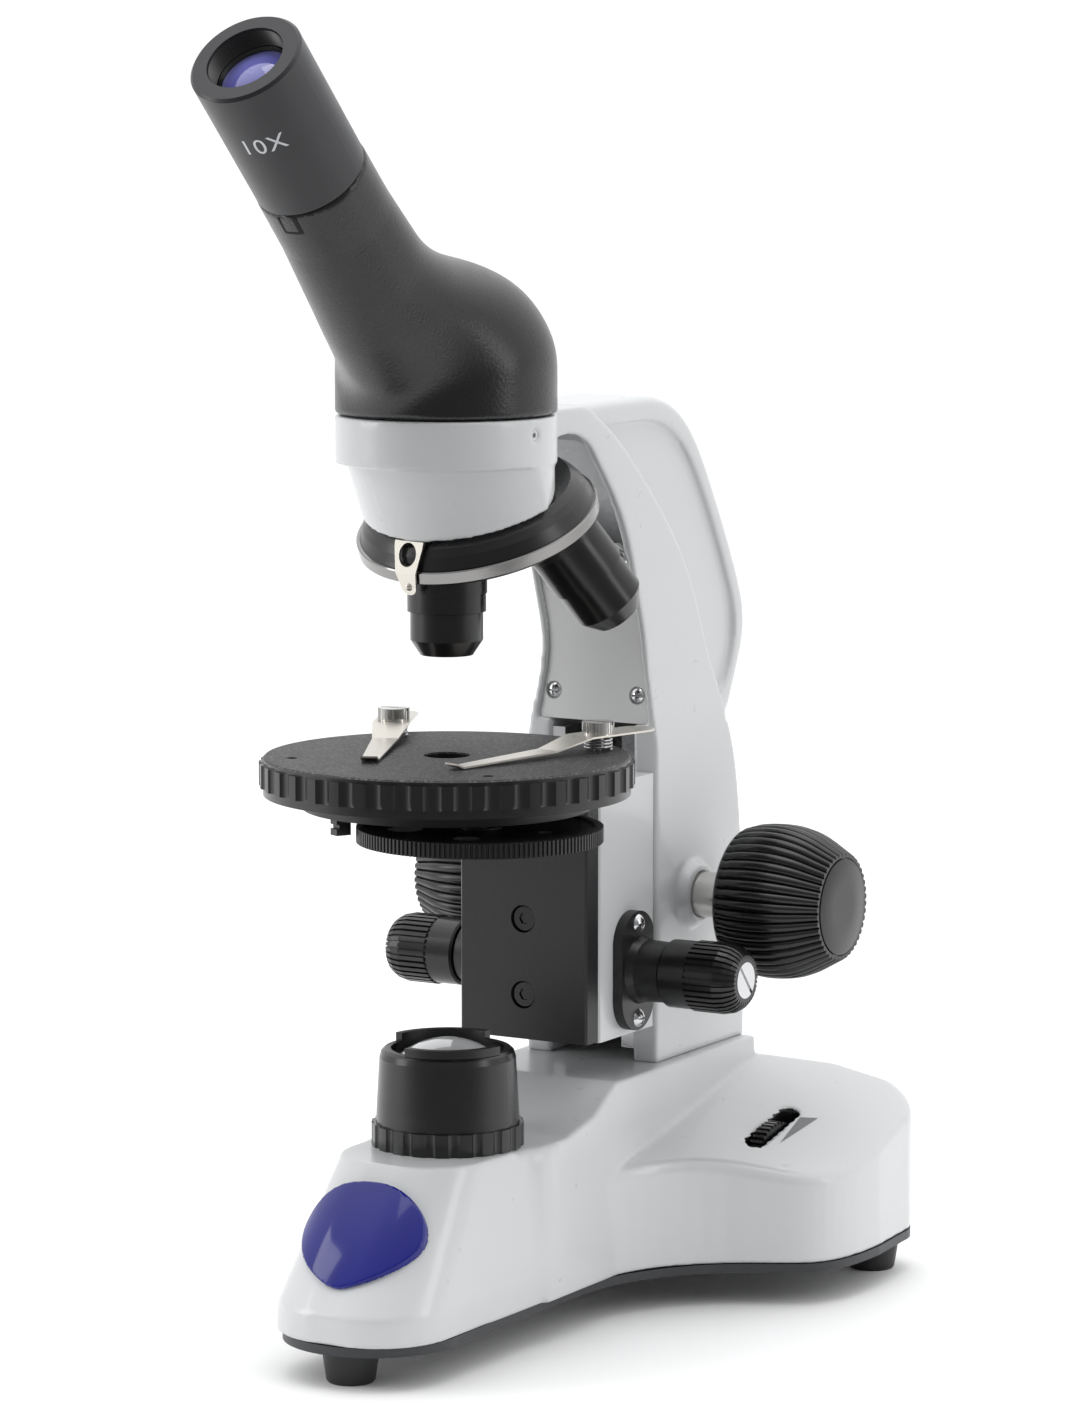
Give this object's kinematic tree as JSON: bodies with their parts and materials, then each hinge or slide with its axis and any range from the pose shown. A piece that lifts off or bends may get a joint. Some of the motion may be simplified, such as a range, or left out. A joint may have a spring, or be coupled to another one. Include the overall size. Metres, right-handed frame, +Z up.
{
  "type": "monocular microscope",
  "caption": "Upright monocular microscope with an inclined eyepiece, rotating objective nosepiece, round rotating stage with clips, coarse and fine focus knobs and a lit base.",
  "frame": {"origin": "middle of the footprint, at table height", "axes": "+Z up, +X to the user's right, -Y towards the user: the eyepiece leans towards -Y and the arm stands at +Y"},
  "size_m": [0.148, 0.26, 0.3621],
  "materials": {
    "white": "gloss",
    "black": "satin",
    "stage_black": "matt",
    "black_plastic": "satin",
    "cover": "satin",
    "nickel": "polished",
    "steel": "brushed",
    "zinc_screw": "satin",
    "aluminium": "machined",
    "rubber": "matt",
    "glass": "polished",
    "badge_blue": "gloss",
    "grey_plastic": "matt",
    "board_green": "satin",
    "cell_green": "gloss"
  },
  "bodies": {
    "stand": {"base_casting": "white", "bottom_plate": "black", "rubber_feet": "rubber", "base_screws": "zinc_screw", "badge": "badge_blue", "illuminator_ring": "black_plastic", "illuminator_housing": "black_plastic", "collector_lens": "glass", "led_heat_sink": "aluminium", "led_board": "board_green", "battery_cells": "cell_green", "battery_holder": "grey_plastic", "control_board": "board_green", "potentiometer": "grey_plastic", "charge_socket": "black_plastic", "arm_casting": "white", "arm_cover_plate": "cover", "cover_screws": "zinc_screw", "head_set_screw": "white", "guide_rails": "steel", "coarse_bushes": "nickel", "click_spring": "nickel", "nosepiece_pivot": "steel"},
    "brightness_dial": {"dial_wheel": "black_plastic"},
    "coarse_drive": {"coarse_shaft": "steel", "coarse_knob_left": "black_plastic", "coarse_knob_right": "black_plastic"},
    "focus_block": {"focus_block": "white", "focus_slide": "steel", "fine_brackets": "black", "bracket_screws": "zinc_screw"},
    "fine_drive": {"fine_shaft": "steel", "fine_knobs": "black_plastic", "fine_knob_screws": "zinc_screw"},
    "stage_carrier": {"stage_carrier": "black", "carrier_screws": "black", "carrier_rail": "steel", "stage_support": "black", "condenser_lens": "glass", "pivot_screws": "nickel"},
    "rotating_stage": {"stage_plate": "stage_black", "clip_screws": "nickel", "clip_springs": "steel"},
    "clip_left": {"clip_blade_left": "nickel"},
    "clip_right": {"clip_blade_right": "nickel"},
    "diaphragm": {"diaphragm_disc": "black"},
    "filter_swing": {"filter_holder": "black", "filter_glass": "glass"},
    "nosepiece": {"nosepiece_turret": "black", "nosepiece_ring": "nickel", "objective_4x": "black", "objective_10x": "black", "objective_40x": "black", "objective_lenses": "glass"},
    "head": {"head_housing": "black", "head_dovetail": "aluminium", "prism": "glass"},
    "eyepiece": {"eyepiece_barrel": "black_plastic", "eyepiece_optics": "glass", "eyepiece_rings": "black_plastic"}
  },
  "joints": [
    {"name": "coarse_focus", "type": "slide", "parent": "stand", "child": "focus_block", "axis": [0, 0, 1], "range_m": [-0.01, 0.002]},
    {"name": "coarse_knob_spin", "type": "hinge", "parent": "stand", "child": "coarse_drive", "pos_m": [0, 0.07672, 0.1128], "axis": [1, 0, 0], "range_deg": [-20, 96]},
    {"name": "fine_knob_spin", "type": "hinge", "parent": "focus_block", "child": "fine_drive", "pos_m": [0, 0.04322, 0.0958], "axis": [1, 0, 0], "range_deg": [-725, 725]},
    {"name": "fine_focus", "type": "slide", "parent": "focus_block", "child": "stage_carrier", "axis": [0, 0, 1], "range_m": [-0.0008, 0.0008]},
    {"name": "stage_turn", "type": "hinge", "parent": "stage_carrier", "child": "rotating_stage", "pos_m": [0, -0.02278, 0.163], "axis": [0, 0, 1], "continuous": true},
    {"name": "left_clip_swing", "type": "hinge", "parent": "rotating_stage", "child": "clip_left", "pos_m": [-0.03329, 0.00332, 0.1674], "axis": [0, 0, 1], "range_deg": [-60, 15]},
    {"name": "right_clip_swing", "type": "hinge", "parent": "rotating_stage", "child": "clip_right", "pos_m": [0.03058, 0.00644, 0.1674], "axis": [0, 0, 1], "range_deg": [-15, 60]},
    {"name": "diaphragm_turn", "type": "hinge", "parent": "stage_carrier", "child": "diaphragm", "pos_m": [0.017, -0.03378, 0.1443], "axis": [0, 0, 1], "continuous": true},
    {"name": "filter_swing_out", "type": "hinge", "parent": "stage_carrier", "child": "filter_swing", "pos_m": [-0.02, -0.00878, 0.1477], "axis": [0, 0, 1], "range_deg": [-50, 0]},
    {"name": "nosepiece_turn", "type": "hinge", "parent": "stand", "child": "nosepiece", "pos_m": [0, -0.02278, 0.2645], "axis": [0, 0.3827, -0.9239], "continuous": true},
    {"name": "head_turn", "type": "hinge", "parent": "stand", "child": "head", "pos_m": [0, -0.02278, 0.2561], "axis": [0, 0, 1], "continuous": true},
    {"name": "eyepiece_pull", "type": "slide", "parent": "head", "child": "eyepiece", "axis": [0, -0.7071, 0.7071], "range_m": [0, 0.025]},
    {"name": "dial_turn", "type": "hinge", "parent": "stand", "child": "brightness_dial", "pos_m": [0.0468, 0.07872, 0.0343], "axis": [1, 0, 0], "range_deg": [-135, 135]}
  ],
  "couplings": [
    {"joint": "coarse_knob_spin", "follows": "coarse_focus", "rad_per_m": -166.67},
    {"joint": "fine_knob_spin", "follows": "fine_focus", "rad_per_m": -15708}
  ]
}
